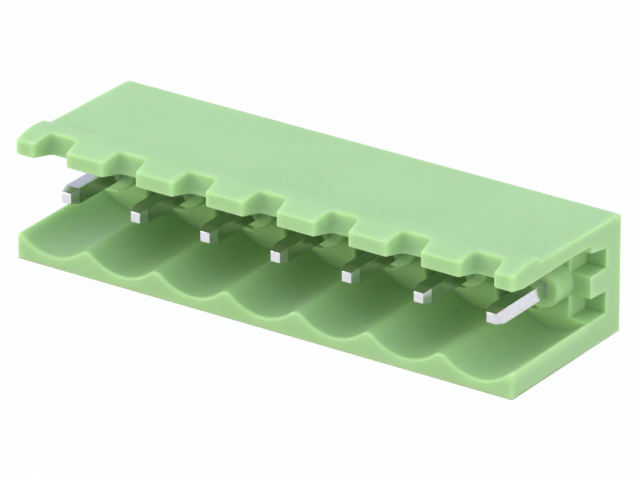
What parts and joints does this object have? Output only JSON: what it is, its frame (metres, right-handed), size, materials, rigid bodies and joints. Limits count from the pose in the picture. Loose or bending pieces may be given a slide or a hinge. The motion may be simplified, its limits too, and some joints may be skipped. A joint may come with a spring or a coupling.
{
  "type": "board header of a pluggable terminal block",
  "caption": "Open-ended header strip for a circuit board: a row of square pins in a scalloped moulded housing that a plug with screw terminals pushes onto.",
  "frame": {"origin": "under the middle of the whole part, in the plane of the housing face that it lies on", "axes": "+X along the row of pins, the mouth opens towards -Y, the solder tails point towards +Y, +Z from the scalloped wall to the plain wall with the lip"},
  "size_m": [0.0356, 0.015, 0.0082],
  "materials": {
    "housing_plastic": "satin green moulding",
    "tin_plating": "bright tin plating"
  },
  "bodies": {
    "root": {"housing": "housing_plastic", "pin_1": "tin_plating", "pin_2": "tin_plating", "pin_3": "tin_plating", "pin_4": "tin_plating", "pin_5": "tin_plating", "pin_6": "tin_plating", "pin_7": "tin_plating"}
  },
  "joints": []
}
